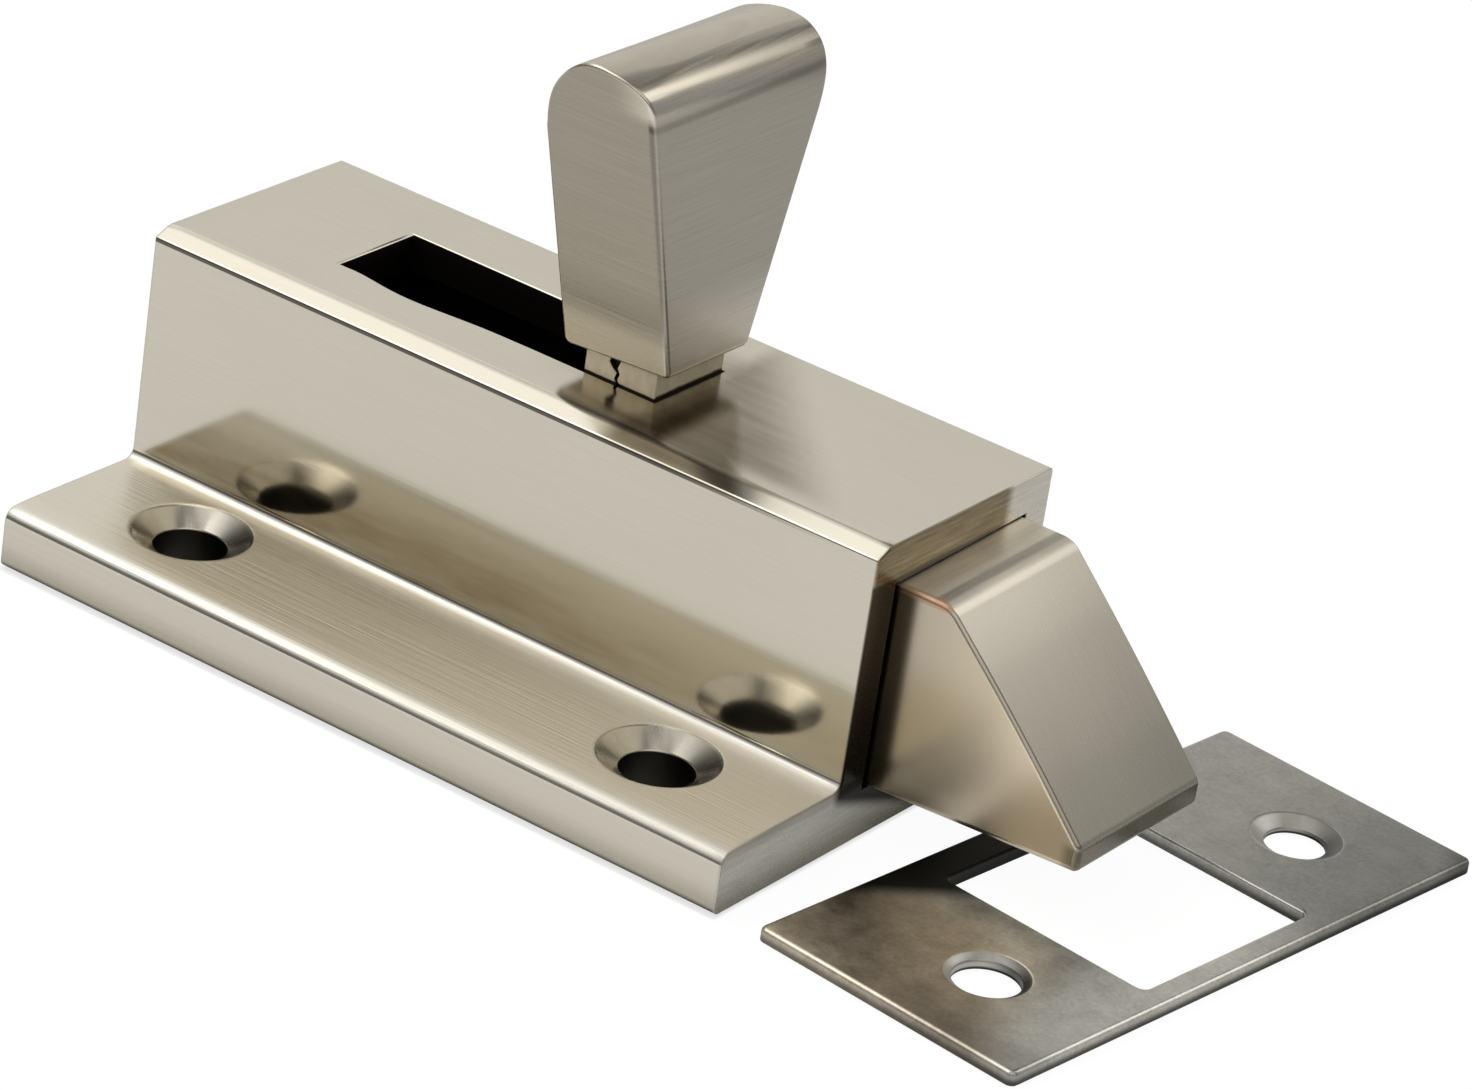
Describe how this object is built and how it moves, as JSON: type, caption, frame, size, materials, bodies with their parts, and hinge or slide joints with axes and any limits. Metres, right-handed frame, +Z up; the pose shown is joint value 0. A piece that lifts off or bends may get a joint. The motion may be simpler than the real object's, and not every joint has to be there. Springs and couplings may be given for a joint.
{
  "type": "surface spring bolt",
  "caption": "Spring-loaded surface bolt: flanged box case, bevelled square bolt drawn back by a paddle knob in a top slot, and a loose flat strike plate.",
  "frame": {"origin": "middle of the case's underside, the face that lies on the door", "axes": "+X along the bolt towards its nose, +Y across the flanges, +Z up from the door's face"},
  "size_m": [0.0893, 0.0484, 0.045],
  "materials": {
    "case_nickel": "satin nickel plate, brushed lengthwise",
    "bolt_nickel": "satin nickel plate, worn to the base metal on the edge",
    "knob_nickel": "satin nickel plate, brushed across",
    "strike_steel": "blotchy satin plate with bright edges",
    "plain_brass": "machined, unplated",
    "spring_steel": "drawn wire",
    "screw_steel": "machined steel"
  },
  "bodies": {
    "case": {"latch_case": "case_nickel", "rear_plug": "plain_brass", "plug_screw_near": "screw_steel", "plug_screw_far": "screw_steel", "spring_guide_rod": "spring_steel", "return_spring": "spring_steel"},
    "bolt": {"bolt": "bolt_nickel", "knob": "knob_nickel", "knob_grub_screw": "screw_steel"},
    "strike": {"strike_plate": "strike_steel"}
  },
  "joints": [
    {"name": "bolt_slide", "type": "slide", "parent": "case", "child": "bolt", "axis": [1, 0, 0], "range_m": [-0.0199, 0], "stiffness_N_per_m": 885, "springref_m": 0.004, "deforming": ["return_spring"]},
    {"name": "strike_pull_away", "type": "slide", "parent": "case", "child": "strike", "axis": [1, 0, 0], "range_m": [0, 0.03]}
  ]
}
